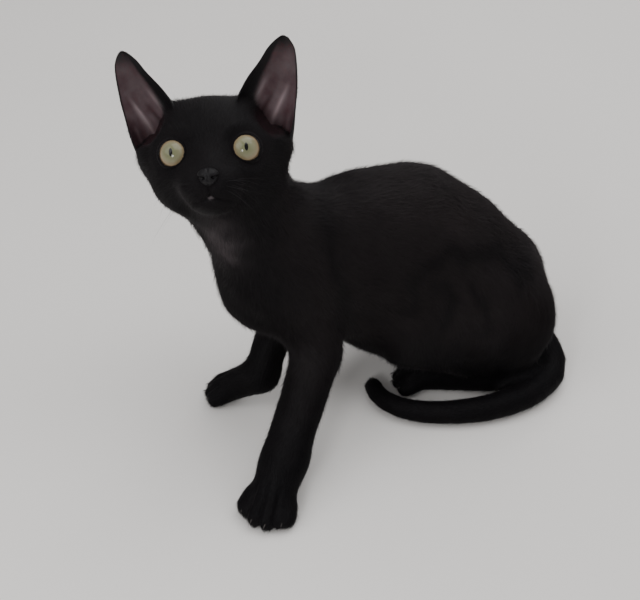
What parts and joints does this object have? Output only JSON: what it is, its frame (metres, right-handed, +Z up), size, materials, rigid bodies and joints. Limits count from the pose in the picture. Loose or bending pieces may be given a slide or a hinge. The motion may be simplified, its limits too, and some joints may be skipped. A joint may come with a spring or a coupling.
{
  "type": "devon rex cat",
  "caption": "Short-coated black kitten sitting half turned with its tail laid round its side, very large low-set ears, short muzzle and wide round eyes.",
  "frame": {"origin": "middle of the part's box, at floor level", "axes": "+Z up; the hips face -Y and the cat's left side faces +X; the head is turned to look towards +X"},
  "size_m": [0.217, 0.2844, 0.2481],
  "materials": {
    "coat": "short soft black coat with a brown cast",
    "ear_skin": "thin bare pinkish skin, slightly sheeny",
    "nose_leather": "fine pebbled, slightly moist",
    "eye": "wet and clear over a pale yellow-green iris"
  },
  "bodies": {
    "root": {"head": "coat", "neck": "coat", "chest": "coat", "belly": "coat", "rump": "coat", "upperarm_left": "coat", "upperarm_right": "coat", "forearm_left": "coat", "forearm_right": "coat", "forepaw_left": "coat", "forepaw_right": "coat", "thigh_left": "coat", "thigh_right": "coat", "hindfoot_left": "coat", "hindfoot_right": "coat", "tail_base": "coat", "tail_middle": "coat", "tail_tip": "coat", "ear_left": "ear_skin", "ear_right": "ear_skin", "nose": "nose_leather", "eye_left": "eye", "eye_right": "eye"}
  },
  "joints": []
}
